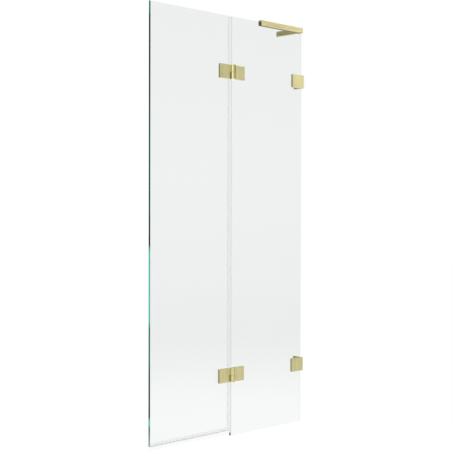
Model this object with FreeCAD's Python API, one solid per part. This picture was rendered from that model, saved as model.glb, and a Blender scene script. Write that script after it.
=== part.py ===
"""Hinged bath screen: a fixed glass panel on wall brackets and a moving glass panel hung from it.

Millimetres. X runs along the glass towards the wall, -Y is the front, where the hinges stand, and +Z is up.
The origin is the middle of the fixed panel's bottom face, which stands on the rim of the bath.
"""

import FreeCAD
import Part
import math
import os

Vector = FreeCAD.Vector

# Glass panels
GLASS_THICKNESS = 8.0
SCREEN_HEIGHT = 1500.0
FIXED_GLASS_WIDTH = 380.0
MOVING_GLASS_WIDTH = 373.0
PANEL_GAP = 5.0
WALL_GAP = 2.0
MOVING_GLASS_LIFT = 21.0
GLASS_ARRIS = 0.8
NOTCH_CLEARANCE = 1.0
NOTCH_RADIUS = 2.0

# Front plates, common to the hinge leaves and the wall brackets
UPPER_FITTING_DROP = 200.0
LOWER_FITTING_RISE = 220.0
PLATE_HEIGHT = 50.0
PLATE_THICKNESS = 8.5
EDGE_RADIUS = 0.8
GASKET_THICKNESS = 1.0
GASKET_MARGIN = 0.6

# Fixings through the glass
FIXING_SPACING = 26.0
FIXING_INSET = 27.0
GLASS_HOLE_RADIUS = 6.0
SLEEVE_CLEARANCE = 0.1
SCREW_RADIUS = 3.0
SCREW_HEAD_RADIUS = 6.0
SCREW_HEAD_RIM = 0.5
SCREW_REACH = 6.0
SCREW_CLEARANCE = 0.2
THREAD_CLEARANCE = 0.05
THREAD_SPARE = 0.7
SOCKET_WIDTH = 4.0
SOCKET_DEPTH = 2.6
BACK_DISC_RADIUS = 10.0
BACK_DISC_THICKNESS = 4.5
BACK_WASHER_THICKNESS = 1.0

# Wall brackets
BRACKET_LENGTH = 62.5
BRACKET_LEG_THICKNESS = 5.0
BRACKET_LEG_DEPTH = 47.0
BRACKET_HOLE_SPACING = 30.0
BRACKET_HOLE_INSET = 15.0
WALL_HOLE_RADIUS = 2.75
WALL_HEAD_RADIUS = 5.2
WALL_HEAD_RIM = 0.4

# Hinges
HINGE_REACH = 61.5
KNUCKLE_RADIUS = 9.0
KNUCKLE_STANDOFF = 3.0
KNUCKLE_SLOT = 4.4
KNUCKLE_CLEARANCE = 0.65
NECK_ANGLE = 10.0
NECK_FOOT = 1.5
LEAF_WEB = 2.5
PIN_RADIUS = 4.0
PIN_SEAT_FLOOR = 5.0
PIN_CHAMFER = 0.6
BUSH_WALL = 1.2
RUNNING_CLEARANCE = 0.05
CAP_THICKNESS = 3.0
CAP_CLEARANCE = 0.5
THRUST_WASHER_RADIUS = 8.0
THRUST_WASHER_THICKNESS = 0.6
THRUST_CLEARANCE = 0.15

# Brace at the top wall corner
BRACE_LENGTH = 230.0
BRACE_THICKNESS = 16.0
BRACE_HEIGHT = 19.5
BRACE_RISE = 6.0
BRACE_WALL_LENGTH = 124.0
BRACE_WALL_THICKNESS = 15.0
BRACE_HOLE_SPACING = 60.0
BRACE_HEAD_SINK = 4.0
LINER_THICKNESS = 0.9
LINER_END_INSET = 2.0
GRUB_RADIUS = 2.5
GRUB_COUNT = 3
GRUB_SPACING = 70.0
GRUB_SOCKET_WIDTH = 2.5
GRUB_SOCKET_DEPTH = 1.6
CORNER_SCREW_RADIUS = 2.0
CORNER_SCREW_HEAD_RADIUS = 3.6
CORNER_SCREW_HEAD_RIM = 0.2
CORNER_SCREW_LENGTH = 16.0
CORNER_SCREW_SPACING = 9.0
CORNER_SOCKET_WIDTH = 2.5
CORNER_SOCKET_DEPTH = 1.4

# Seals
SEAL_CLEARANCE = 0.05
SEAL_WALL = 1.2
SEAL_END_CLEARANCE = 1.0
SEAL_TOP_DROP = 3.0
SIDE_SEAL_LEG = 15.0
SIDE_SEAL_BACK_LEG = 5.0
SIDE_SEAL_WEB = 1.4
SIDE_SEAL_LAP = 3.5
SIDE_SEAL_LIP = 0.8
SIDE_SEAL_LIP_LIFT = 2.0
SIDE_SEAL_BOTTOM = 9.0
DRIP_SEAL_LEG = 11.5
DRIP_SEAL_BACK_LEG = 8.0
DRIP_SEAL_WEB = 1.7
DRIP_FIN_THICKNESS = 0.9
DRIP_FIN_BOTTOM = 6.0
DRIP_FIN_SLANT = 1.5

# Places along the screen
FIXED_RIGHT = FIXED_GLASS_WIDTH / 2
FIXED_LEFT = -FIXED_GLASS_WIDTH / 2
WALL_X = FIXED_RIGHT + WALL_GAP
MOVING_RIGHT = FIXED_LEFT - PANEL_GAP
MOVING_LEFT = MOVING_RIGHT - MOVING_GLASS_WIDTH
HINGE_X = FIXED_LEFT - PANEL_GAP / 2
BRACKET_LEFT = WALL_X - BRACKET_LENGTH
BRACKET_LEG_FACE = WALL_X - BRACKET_LEG_THICKNESS
NOTCH_LEFT = BRACKET_LEG_FACE - NOTCH_CLEARANCE

# Places across the screen; the leaves' own are counted from the hinge axis
GLASS_FRONT = -GLASS_THICKNESS / 2
GLASS_BACK = GLASS_THICKNESS / 2
PLATE_BACK = GLASS_FRONT - GASKET_THICKNESS
PLATE_FRONT = PLATE_BACK - PLATE_THICKNESS
HINGE_Y = GLASS_FRONT - KNUCKLE_STANDOFF - KNUCKLE_RADIUS
LEAF_FRONT = PLATE_FRONT - HINGE_Y
LEAF_BACK = PLATE_BACK - HINGE_Y
DISC_FRONT = GLASS_BACK + BACK_WASHER_THICKNESS
DISC_BACK = DISC_FRONT + BACK_DISC_THICKNESS

# Starts of a leaf's plate and web beside the hinge axis: the plate's front runs into the leaf's own
# knuckle and ends at a slot beside the other one, and the web behind that slot ends at a clearance from it
PLATE_ROOT = math.sqrt(KNUCKLE_RADIUS**2 - LEAF_FRONT**2)
PLATE_START = KNUCKLE_RADIUS + KNUCKLE_SLOT
WEB_START = math.sqrt((KNUCKLE_RADIUS + KNUCKLE_CLEARANCE) ** 2 - (LEAF_BACK - LEAF_WEB) ** 2)

# Heights
FITTING_HEIGHTS = {"upper": SCREEN_HEIGHT - UPPER_FITTING_DROP, "lower": LOWER_FITTING_RISE}
BRACE_TOP = SCREEN_HEIGHT + BRACE_RISE
BRACE_BOTTOM = BRACE_TOP - BRACE_HEIGHT
BRACE_MIDDLE = BRACE_TOP - BRACE_HEIGHT / 2
KNUCKLE_GAP = THRUST_WASHER_THICKNESS + THRUST_CLEARANCE
DRIP_SEAL_TOP = MOVING_GLASS_LIFT + DRIP_SEAL_LEG
DRIP_SEAL_BOTTOM = MOVING_GLASS_LIFT - SEAL_CLEARANCE - DRIP_SEAL_WEB

UP = Vector(0, 0, 1)
TO_FRONT = Vector(0, -1, 0)
TO_BACK = Vector(0, 1, 0)
TO_WALL = Vector(1, 0, 0)
FULL_TURN = 360


# Outlines and solids of general use
def plan(z):
    """Maps an outline drawn as (x, y) to the level z."""
    return lambda point: Vector(point.x, point.y, z)


def section(x):
    """Maps an outline drawn as (y, z) to the cross-section at x."""
    return lambda point: Vector(x, point.x, point.y)


def facing(y):
    """Maps an outline drawn as (x, z) to the plane at y."""
    return lambda point: Vector(point.x, y, point.y)


def beside_axis(side, z):
    """Maps an outline drawn as (along the leaf, behind the axis) from a hinge axis to the level z."""
    return lambda point: Vector(HINGE_X + side * point.x, HINGE_Y + point.y, z)


def rounded_corner(before, here, after, radius):
    """Start, middle and end of the arc that rounds one corner of an outline."""
    towards_before = (before - here).normalize()
    towards_after = (after - here).normalize()
    half_angle = towards_before.getAngle(towards_after) / 2
    setback = radius / math.tan(half_angle)
    bisector = (towards_before + towards_after).normalize()
    middle = here + bisector * (radius / math.sin(half_angle) - radius)
    return here + towards_before * setback, middle, here + towards_after * setback


def outline_face(corners, mapping):
    """Face inside a closed outline of corners (u, v) or (u, v, radius)."""
    points = [Vector(corner[0], corner[1], 0) for corner in corners]
    radii = [corner[2] if len(corner) > 2 else 0 for corner in corners]
    edges = []
    bends = []
    for index, here in enumerate(points):
        if radii[index] > 0:
            after = points[(index + 1) % len(points)]
            bend = rounded_corner(points[index - 1], here, after, radii[index])
            edges.append(Part.Arc(*[mapping(point) for point in bend]).toShape())
            bends.append((bend[0], bend[2]))
        else:
            bends.append((here, here))
    for index, (_, leave) in enumerate(bends):
        arrive = bends[(index + 1) % len(bends)][0]
        edges.append(Part.makeLine(mapping(leave), mapping(arrive)))
    return Part.Face(Part.Wire(Part.__sortEdges__(edges)))


def upright(corners, bottom, top):
    """Upright prism over an outline in plan."""
    return outline_face(corners, plan(bottom)).extrude(UP * (top - bottom))


def lengthwise(corners, left, right):
    """Bar along X with an outline in cross-section."""
    return outline_face(corners, section(left)).extrude(TO_WALL * (right - left))


def aimed(shape, point, direction):
    """Shape made along +Z from the origin, set at a point and turned to a direction."""
    shape.Placement = FreeCAD.Placement(point, FreeCAD.Rotation(UP, direction))
    return shape


def turned(profile, point, direction):
    """Solid of revolution with a half profile of (radius, height)."""
    face = Part.Face(Part.makePolygon([Vector(r, 0, h) for r, h in profile + profile[:1]]))
    return aimed(face.revolve(Vector(), UP, FULL_TURN), point, direction)


def hexagon(width, depth, point, direction):
    """Hexagonal prism of a width across its flats."""
    corner = width / math.sqrt(3)
    angles = [math.radians(60 * step) for step in range(7)]
    rim = Part.makePolygon([Vector(corner * math.cos(a), corner * math.sin(a), 0) for a in angles])
    return aimed(Part.Face(rim).extrude(UP * depth), point, direction)


def countersunk_screw(point, direction, radius, head_radius, head_rim, length, socket):
    """Countersunk screw, its head flush at a point, with a hexagon socket (width, depth)."""
    cone_end = head_rim + head_radius - radius
    profile = [
        (0, 0),
        (head_radius, 0),
        (head_radius, head_rim),
        (radius, cone_end),
        (radius, length - radius / 4),
        (radius * 3 / 4, length),
        (0, length),
    ]
    return turned(profile, point, direction).cut(hexagon(*socket, point, direction))


def countersunk_hole(point, direction, radius, head_radius, head_rim, depth):
    """Cutter for a countersunk through hole, which starts at the face at a point."""
    cone_end = head_rim + head_radius - radius
    head = [(0, 0), (head_radius, 0), (head_radius, head_rim)]
    return turned(head + [(radius, cone_end), (radius, depth), (0, depth)], point, direction)


def ring(outer, inner, height, point, direction):
    """Plain ring along a direction."""
    return turned([(inner, 0), (outer, 0), (outer, height), (inner, height)], point, direction)


def soft_edges(solid, level, radius):
    """Rounds a plate's outer edges at one end of its height, but not the edge on its gasket."""
    picked = []
    for edge in solid.Edges:
        ends = [vertex.Point for vertex in edge.Vertexes]
        flat = all(abs(end.z - level) < 1e-6 for end in ends)
        at_back = all(abs(end.y - PLATE_BACK) < 1e-6 for end in ends)
        if flat and not at_back:
            picked.append(edge)
    return solid.makeFillet(radius, picked)


def save(name, *solids):
    """Writes one piece, or a group of like pieces, under its name."""
    shape = solids[0] if len(solids) == 1 else Part.makeCompound(list(solids))
    shape.exportStep(os.path.join("parts", name + ".step"))


# Fixings: each front plate is held by screws through drilled holes in the glass
def fixing_points(x, z):
    """Centres, on the middle plane of the glass, of the fixings of a plate."""
    return [Vector(x, 0, z + side * FIXING_SPACING / 2) for side in (1, -1)]


def shifted_to(point, y):
    """The same point on another plane across the screen."""
    return Vector(point.x, y, point.z)


def tapped_holes(points):
    """Cutter for the blind tapped holes in the back of a plate."""
    depth = SCREW_REACH + THREAD_SPARE
    return [Part.makeCylinder(SCREW_RADIUS, depth, shifted_to(p, PLATE_BACK), TO_FRONT) for p in points]


def glass_holes(points):
    """Cutters for the drilled holes in the glass."""
    size = (GLASS_HOLE_RADIUS, GLASS_THICKNESS)
    return [Part.makeCylinder(*size, shifted_to(p, GLASS_FRONT), TO_BACK) for p in points]


def gasket(left, right, z, points):
    """Clear sheet between a front plate and the glass, with holes for the screws."""
    low = z - PLATE_HEIGHT / 2 + GASKET_MARGIN
    high = z + PLATE_HEIGHT / 2 - GASKET_MARGIN
    corners = [(left, PLATE_BACK), (right, PLATE_BACK), (right, GLASS_FRONT), (left, GLASS_FRONT)]
    sheet = upright(corners, low, high)
    size = (SCREW_RADIUS + SCREW_CLEARANCE, GASKET_THICKNESS)
    return sheet.cut([Part.makeCylinder(*size, shifted_to(p, GLASS_FRONT), TO_FRONT) for p in points])


def back_disc(point):
    """Countersunk disc behind the glass."""
    seat = shifted_to(point, DISC_BACK)
    edge = EDGE_RADIUS
    profile = [
        (0, 0),
        (BACK_DISC_RADIUS - edge, 0),
        (BACK_DISC_RADIUS, edge),
        (BACK_DISC_RADIUS, BACK_DISC_THICKNESS),
        (0, BACK_DISC_THICKNESS),
    ]
    hole_radius = SCREW_RADIUS + SCREW_CLEARANCE
    head_radius = SCREW_HEAD_RADIUS + SCREW_CLEARANCE
    hole = countersunk_hole(seat, TO_FRONT, hole_radius, head_radius, SCREW_HEAD_RIM, BACK_DISC_THICKNESS)
    return turned(profile, seat, TO_FRONT).cut(hole)


def save_fixings(family, points):
    """Sleeves, washers, discs and screws behind one family of plates."""
    hole = SCREW_RADIUS + SCREW_CLEARANCE
    sleeve = (GLASS_HOLE_RADIUS - SLEEVE_CLEARANCE, hole, GLASS_THICKNESS)
    washer = (BACK_DISC_RADIUS, hole, BACK_WASHER_THICKNESS)
    screw = (
        SCREW_RADIUS - THREAD_CLEARANCE,
        SCREW_HEAD_RADIUS,
        SCREW_HEAD_RIM,
        DISC_BACK - PLATE_BACK + SCREW_REACH,
        (SOCKET_WIDTH, SOCKET_DEPTH),
    )
    save(family + "_glass_sleeves", *[ring(*sleeve, shifted_to(p, GLASS_FRONT), TO_BACK) for p in points])
    save(family + "_back_washers", *[ring(*washer, shifted_to(p, GLASS_BACK), TO_BACK) for p in points])
    save(family + "_back_discs", *[back_disc(p) for p in points])
    heads = [shifted_to(p, DISC_BACK) for p in points]
    save(family + "_screws", *[countersunk_screw(head, TO_FRONT, *screw) for head in heads])


# Wall brackets: a front plate on the glass and a leg along the wall, past the edge of the glass
def wall_bracket(z, points):
    """L-shaped bracket with tapped holes for the glass and countersunk holes for the wall."""
    leg_end = PLATE_FRONT + BRACKET_LEG_DEPTH
    low = z - PLATE_HEIGHT / 2
    high = z + PLATE_HEIGHT / 2
    body = upright(
        [
            (BRACKET_LEFT, PLATE_BACK),
            (BRACKET_LEFT, PLATE_FRONT, EDGE_RADIUS),
            (WALL_X, PLATE_FRONT, EDGE_RADIUS),
            (WALL_X, leg_end),
            (BRACKET_LEG_FACE, leg_end, EDGE_RADIUS),
            (BRACKET_LEG_FACE, PLATE_BACK),
        ],
        low,
        high,
    )
    for level in (low, high):
        body = soft_edges(body, level, EDGE_RADIUS / 2)
    hole_y = leg_end - BRACKET_HOLE_INSET
    heights = [z + side * BRACKET_HOLE_SPACING / 2 for side in (1, -1)]
    places = [Vector(BRACKET_LEG_FACE, hole_y, height) for height in heights]
    hole = (WALL_HOLE_RADIUS, WALL_HEAD_RADIUS, WALL_HEAD_RIM, BRACKET_LEG_THICKNESS)
    wall_holes = [countersunk_hole(place, TO_WALL, *hole) for place in places]
    return body.cut(tapped_holes(points) + wall_holes)


# Hinges: a plate on each glass, and a round knuckle in front of the joint, split at half height
def knuckle_face(side, z):
    """Plan of a leaf with its knuckle: a plate that runs flat into the round knuckle, and its neck."""
    far_back = Vector(HINGE_REACH, LEAF_BACK, 0)
    far_front = Vector(HINGE_REACH, LEAF_FRONT, 0)
    root = Vector(PLATE_ROOT, LEAF_FRONT, 0)
    turn = math.radians(NECK_ANGLE)
    neck_top = Vector(-math.sin(turn), math.cos(turn), 0) * KNUCKLE_RADIUS
    neck_foot = Vector(NECK_FOOT, LEAF_BACK, 0)
    round_middle = (root + neck_top).normalize() * -KNUCKLE_RADIUS
    far_edge = rounded_corner(far_back, far_front, root, EDGE_RADIUS)
    bends = [far_edge, (root, round_middle, neck_top)]
    lines = [(far_back, far_edge[0]), (far_edge[2], root), (neck_top, neck_foot), (neck_foot, far_back)]
    place = beside_axis(side, z)
    edges = [Part.Arc(*[place(point) for point in bend]).toShape() for bend in bends]
    edges += [Part.makeLine(place(first), place(last)) for first, last in lines]
    return Part.Face(Part.Wire(Part.__sortEdges__(edges)))


def web_face(side, z):
    """Plan of a leaf beside the other leaf's knuckle: plate, and a thin web that closes the gap."""
    web_front = LEAF_BACK - LEAF_WEB
    corners = [
        (HINGE_REACH, LEAF_BACK),
        (HINGE_REACH, LEAF_FRONT, EDGE_RADIUS),
        (PLATE_START, LEAF_FRONT, EDGE_RADIUS / 2),
        (PLATE_START, web_front),
        (WEB_START, web_front),
        (WEB_START, LEAF_BACK),
    ]
    return outline_face(corners, beside_axis(side, z))


def leaf(side, z, split, points, bore):
    """Hinge leaf in one piece; side is -1 on the moving glass, whose knuckle is the upper half."""
    low = z - PLATE_HEIGHT / 2
    high = z + PLATE_HEIGHT / 2
    upper_face, lower_face = (web_face, knuckle_face) if side > 0 else (knuckle_face, web_face)
    upper = soft_edges(upper_face(side, split).extrude(UP * (high - split)), high, EDGE_RADIUS / 2)
    lower = soft_edges(lower_face(side, low).extrude(UP * (split - low)), low, EDGE_RADIUS / 2)
    body = lower.fuse(upper).removeSplitter()
    return body.cut(tapped_holes(points) + [bore])


def save_hinge(level, z, fixed_points, moving_points):
    """One hinge: two leaves, the pin pressed in the fixed one, and the bush, washer and cap around it."""
    low = z - PLATE_HEIGHT / 2
    high = z + PLATE_HEIGHT / 2
    fixed_top = z - KNUCKLE_GAP / 2
    moving_bottom = z + KNUCKLE_GAP / 2
    pin_bottom = low + PIN_SEAT_FLOOR
    bush_top = high - CAP_THICKNESS - CAP_CLEARANCE
    pin_top = bush_top - CAP_CLEARANCE
    bush_radius = PIN_RADIUS + RUNNING_CLEARANCE + BUSH_WALL

    def on_axis(height):
        return Vector(HINGE_X, HINGE_Y, height)

    pin_seat = Part.makeCylinder(PIN_RADIUS, fixed_top - pin_bottom, on_axis(pin_bottom), UP)
    bush_seat = Part.makeCylinder(bush_radius, high - moving_bottom, on_axis(moving_bottom), UP)
    save(level + "_hinge_fixed_leaf", leaf(1, z, fixed_top, fixed_points, pin_seat))
    save(level + "_hinge_moving_leaf", leaf(-1, z, moving_bottom, moving_points, bush_seat))
    pin_length = pin_top - pin_bottom
    pin_profile = [
        (0, 0),
        (PIN_RADIUS, 0),
        (PIN_RADIUS, pin_length - PIN_CHAMFER),
        (PIN_RADIUS - PIN_CHAMFER, pin_length),
        (0, pin_length),
    ]
    save(level + "_hinge_pin", turned(pin_profile, on_axis(pin_bottom), UP))
    bore = PIN_RADIUS + RUNNING_CLEARANCE
    bush = ring(bush_radius, bore, bush_top - moving_bottom, on_axis(moving_bottom), UP)
    washer = ring(THRUST_WASHER_RADIUS, bore, THRUST_WASHER_THICKNESS, on_axis(fixed_top), UP)
    cap = Part.makeCylinder(bush_radius, CAP_THICKNESS, on_axis(high - CAP_THICKNESS), UP)
    save(level + "_hinge_bush", bush)
    save(level + "_hinge_thrust_washer", washer)
    save(level + "_hinge_cap", cap)


# Brace: a channel over the top edge of the fixed glass and a bar along the wall
def grub_places():
    """Centres of the grub screws, on the back face of the channel."""
    middle = WALL_X - BRACE_LENGTH / 2
    height = (BRACE_BOTTOM + SCREEN_HEIGHT) / 2
    offsets = [GRUB_SPACING * (index - (GRUB_COUNT - 1) / 2) for index in range(GRUB_COUNT)]
    return [Vector(middle + offset, BRACE_THICKNESS / 2, height) for offset in offsets]


def corner_places():
    """Centres of the corner screws, on the inner face of the channel's back wall."""
    x = WALL_X - BRACE_WALL_THICKNESS / 2
    inner = GLASS_BACK + LINER_THICKNESS
    middle = (BRACE_BOTTOM + SCREEN_HEIGHT) / 2
    return [Vector(x, inner, middle + side * CORNER_SCREW_SPACING / 2) for side in (1, -1)]


def brace_channel():
    """Channel with a slot for the lined glass, and holes for its grub screws and corner screws."""
    outer = BRACE_THICKNESS / 2
    inner = GLASS_BACK + LINER_THICKNESS
    slot_top = SCREEN_HEIGHT + LINER_THICKNESS
    bar = lengthwise(
        [
            (-outer, BRACE_BOTTOM, EDGE_RADIUS),
            (-inner, BRACE_BOTTOM),
            (-inner, slot_top),
            (inner, slot_top),
            (inner, BRACE_BOTTOM),
            (outer, BRACE_BOTTOM, EDGE_RADIUS),
            (outer, BRACE_TOP, EDGE_RADIUS),
            (-outer, BRACE_TOP, EDGE_RADIUS),
        ],
        WALL_X - BRACE_LENGTH,
        WALL_X,
    )
    wall = outer - inner
    grubs = [Part.makeCylinder(GRUB_RADIUS, wall, place, TO_FRONT) for place in grub_places()]
    hole = (
        CORNER_SCREW_RADIUS + THREAD_CLEARANCE,
        CORNER_SCREW_HEAD_RADIUS + THREAD_CLEARANCE,
        CORNER_SCREW_HEAD_RIM,
        wall,
    )
    corners = [countersunk_hole(place, TO_BACK, *hole) for place in corner_places()]
    return bar.cut(grubs + corners)


def brace_wall_hole_y():
    """Middle of the wall holes, halfway along the wall bar."""
    return -BRACE_THICKNESS / 2 + (BRACE_WALL_LENGTH + BRACE_THICKNESS) / 2


def brace_wall_bar():
    """Bar along the wall behind the channel, tapped for the corner screws and countersunk for the wall."""
    face = WALL_X - BRACE_WALL_THICKNESS
    start = BRACE_THICKNESS / 2
    end = -BRACE_THICKNESS / 2 + BRACE_WALL_LENGTH
    corners = [(face, start), (WALL_X, start), (WALL_X, end), (face, end, EDGE_RADIUS)]
    bar = upright(corners, BRACE_BOTTOM, BRACE_TOP)
    long_edges = [
        edge for edge in bar.Edges
        if all(abs(v.Point.x - face) < 1e-6 and v.Point.y < end for v in edge.Vertexes)
        and abs(edge.Vertexes[0].Point.z - edge.Vertexes[-1].Point.z) < 1e-6
    ]
    bar = bar.makeFillet(EDGE_RADIUS / 2, long_edges)
    tapped_depth = CORNER_SCREW_LENGTH - (BRACE_THICKNESS / 2 - GLASS_BACK - LINER_THICKNESS) + THREAD_SPARE
    tapped = [
        Part.makeCylinder(CORNER_SCREW_RADIUS, tapped_depth, shifted_to(place, start), TO_BACK)
        for place in corner_places()
    ]
    wall_holes = [
        countersunk_hole(
            Vector(face, brace_wall_hole_y() + side * BRACE_HOLE_SPACING / 2, BRACE_MIDDLE),
            TO_WALL, WALL_HOLE_RADIUS, WALL_HEAD_RADIUS, BRACE_HEAD_SINK, BRACE_WALL_THICKNESS,
        )
        for side in (1, -1)
    ]
    return bar.cut(tapped + wall_holes)


def brace_liner():
    """Soft strip folded over the top edge of the glass inside the channel."""
    outer = GLASS_BACK + LINER_THICKNESS
    top = SCREEN_HEIGHT + LINER_THICKNESS
    corners = [
        (-outer, BRACE_BOTTOM),
        (-GLASS_BACK, BRACE_BOTTOM),
        (-GLASS_BACK, SCREEN_HEIGHT),
        (GLASS_BACK, SCREEN_HEIGHT),
        (GLASS_BACK, BRACE_BOTTOM),
        (outer, BRACE_BOTTOM),
        (outer, top),
        (-outer, top),
    ]
    return lengthwise(corners, WALL_X - BRACE_LENGTH + LINER_END_INSET, FIXED_RIGHT)


def grub_screw(place):
    """Headless screw through the back wall of the channel, which presses on the liner."""
    length = BRACE_THICKNESS / 2 - GLASS_BACK - LINER_THICKNESS
    body = Part.makeCylinder(GRUB_RADIUS - THREAD_CLEARANCE, length, place, TO_FRONT)
    return body.cut(hexagon(GRUB_SOCKET_WIDTH, GRUB_SOCKET_DEPTH, place, TO_FRONT))


def corner_screw(place):
    """Countersunk screw from inside the channel into the end of the wall bar."""
    shank = CORNER_SCREW_RADIUS - THREAD_CLEARANCE
    socket = (CORNER_SOCKET_WIDTH, CORNER_SOCKET_DEPTH)
    head = (CORNER_SCREW_HEAD_RADIUS, CORNER_SCREW_HEAD_RIM)
    return countersunk_screw(place, TO_BACK, shank, *head, CORNER_SCREW_LENGTH, socket)


# Seals
def side_seal_web():
    """Outline of the side seal's web and lip alone, beside the edge of the moving glass."""
    inner = MOVING_RIGHT + SEAL_CLEARANCE
    outer = inner + SIDE_SEAL_WEB
    front = GLASS_FRONT - SEAL_CLEARANCE - SEAL_WALL
    tip = FIXED_LEFT + SIDE_SEAL_LAP
    tip_back = GLASS_FRONT - SIDE_SEAL_LIP_LIFT
    back = GLASS_BACK + SEAL_CLEARANCE + SEAL_WALL
    return inner, [
        (inner, front, SEAL_WALL / 4),
        (tip, tip_back - SIDE_SEAL_LIP, SIDE_SEAL_LIP / 4),
        (tip, tip_back),
        (outer, GLASS_FRONT, SEAL_WALL / 2),
        (outer, back, SEAL_WALL / 2),
        (inner, back),
    ]


def side_seal(bottom, top):
    """Length of clear side seal: a clip on the edge of the moving glass with a lip over the fixed glass."""
    inner, web = side_seal_web()
    front_end = MOVING_RIGHT - SIDE_SEAL_LEG
    back_end = MOVING_RIGHT - SIDE_SEAL_BACK_LEG
    grip = GLASS_BACK + SEAL_CLEARANCE
    outer = grip + SEAL_WALL
    clip = [
        (back_end, outer),
        (back_end, grip),
        (inner, grip),
        (inner, -grip),
        (front_end, -grip),
        (front_end, -outer),
    ]
    return upright(web[:-1] + clip, bottom, top)


def side_seals():
    """The three lengths of side seal, cut to clear the hinges and the drip seal."""
    half = PLATE_HEIGHT / 2 + SEAL_END_CLEARANCE
    upper = FITTING_HEIGHTS["upper"]
    lower = FITTING_HEIGHTS["lower"]
    clip_bottom = DRIP_SEAL_TOP + SEAL_END_CLEARANCE
    tail = upright(side_seal_web()[1], SIDE_SEAL_BOTTOM, clip_bottom)
    return {
        "upper": side_seal(upper + half, SCREEN_HEIGHT - SEAL_TOP_DROP),
        "middle": side_seal(lower + half, upper - half),
        "lower": side_seal(clip_bottom, lower - half).fuse(tail).removeSplitter(),
    }


def drip_seal():
    """Clear clip along the bottom edge of the moving glass, with a thin fin that hangs below it."""
    grip = GLASS_BACK + SEAL_CLEARANCE
    outer = grip + SEAL_WALL
    seat = MOVING_GLASS_LIFT - SEAL_CLEARANCE
    back_top = MOVING_GLASS_LIFT + DRIP_SEAL_BACK_LEG
    half_fin = DRIP_FIN_THICKNESS / 2
    corners = [
        (-outer, DRIP_SEAL_BOTTOM, SEAL_WALL / 2),
        (-half_fin, DRIP_SEAL_BOTTOM),
        (DRIP_FIN_SLANT - half_fin, DRIP_FIN_BOTTOM),
        (DRIP_FIN_SLANT + half_fin, DRIP_FIN_BOTTOM),
        (half_fin, DRIP_SEAL_BOTTOM),
        (outer, DRIP_SEAL_BOTTOM, SEAL_WALL / 2),
        (outer, back_top),
        (grip, back_top),
        (grip, seat),
        (-grip, seat),
        (-grip, DRIP_SEAL_TOP),
        (-outer, DRIP_SEAL_TOP),
    ]
    return lengthwise(corners, MOVING_LEFT, MOVING_RIGHT)


def glass_panel(left, right, bottom, cutters):
    """Toughened glass with ground edges, drilled or notched for its fittings."""
    size = (right - left, GLASS_THICKNESS, SCREEN_HEIGHT - bottom)
    sheet = Part.makeBox(*size, Vector(left, GLASS_FRONT, bottom))
    return sheet.makeChamfer(GLASS_ARRIS, sheet.Edges).cut(cutters)


def bracket_notch(z):
    """Cutter for the notch that lets a bracket's leg past the wall edge of the fixed glass."""
    half = PLATE_HEIGHT / 2 + NOTCH_CLEARANCE
    corners = [
        (NOTCH_LEFT, z - half, NOTCH_RADIUS),
        (WALL_X, z - half),
        (WALL_X, z + half),
        (NOTCH_LEFT, z + half, NOTCH_RADIUS),
    ]
    return outline_face(corners, facing(GLASS_FRONT)).extrude(TO_BACK * GLASS_THICKNESS)


def main():
    """Builds every piece and writes it."""
    os.makedirs("parts", exist_ok=True)
    families = {"wall_bracket": [], "hinge_fixed": [], "hinge_moving": []}
    gaskets = {family: [] for family in families}
    for level, z in FITTING_HEIGHTS.items():
        bracket_points = fixing_points(BRACKET_LEFT + FIXING_INSET, z)
        fixed_points = fixing_points(HINGE_X + HINGE_REACH - FIXING_INSET, z)
        moving_points = fixing_points(HINGE_X - HINGE_REACH + FIXING_INSET, z)
        save(level + "_wall_bracket", wall_bracket(z, bracket_points))
        save_hinge(level, z, fixed_points, moving_points)
        for family, points, left, right in (
            ("wall_bracket", bracket_points, BRACKET_LEFT, NOTCH_LEFT),
            ("hinge_fixed", fixed_points, HINGE_X + PLATE_START, HINGE_X + HINGE_REACH),
            ("hinge_moving", moving_points, HINGE_X - HINGE_REACH, HINGE_X - PLATE_START),
        ):
            families[family] += points
            gaskets[family].append(gasket(left + GASKET_MARGIN, right - GASKET_MARGIN, z, points))
    for family, points in families.items():
        save(family + "_gaskets", *gaskets[family])
        save_fixings(family, points)

    fixed_cuts = glass_holes(families["wall_bracket"] + families["hinge_fixed"])
    fixed_cuts += [bracket_notch(z) for z in FITTING_HEIGHTS.values()]
    moving_cuts = glass_holes(families["hinge_moving"])
    save("fixed_glass_panel", glass_panel(FIXED_LEFT, FIXED_RIGHT, 0, fixed_cuts))
    save("moving_glass_panel", glass_panel(MOVING_LEFT, MOVING_RIGHT, MOVING_GLASS_LIFT, moving_cuts))

    save("brace_glass_channel", brace_channel())
    save("brace_wall_bar", brace_wall_bar())
    save("brace_channel_liner", brace_liner())
    save("brace_grub_screws", *[grub_screw(place) for place in grub_places()])
    save("brace_corner_screws", *[corner_screw(place) for place in corner_places()])

    save("bottom_drip_seal", drip_seal())
    for length, seal in side_seals().items():
        save("side_seal_" + length, seal)


main()
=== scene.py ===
"""Bath screen of two hinged glass panels with brushed brass fittings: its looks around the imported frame.

Metres. X runs along the glass towards the wall, -Y is the front and +Z is up, as in the CAD frame. The
glass, the brass and the small hidden pieces keep their CAD shapes and get their finishes here. The soft
clear seals are made anew, with rounded legs and curved lips.
"""

import logging
import math
from dataclasses import dataclass
from enum import Enum
from typing import Any, Mapping, Sequence

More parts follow.
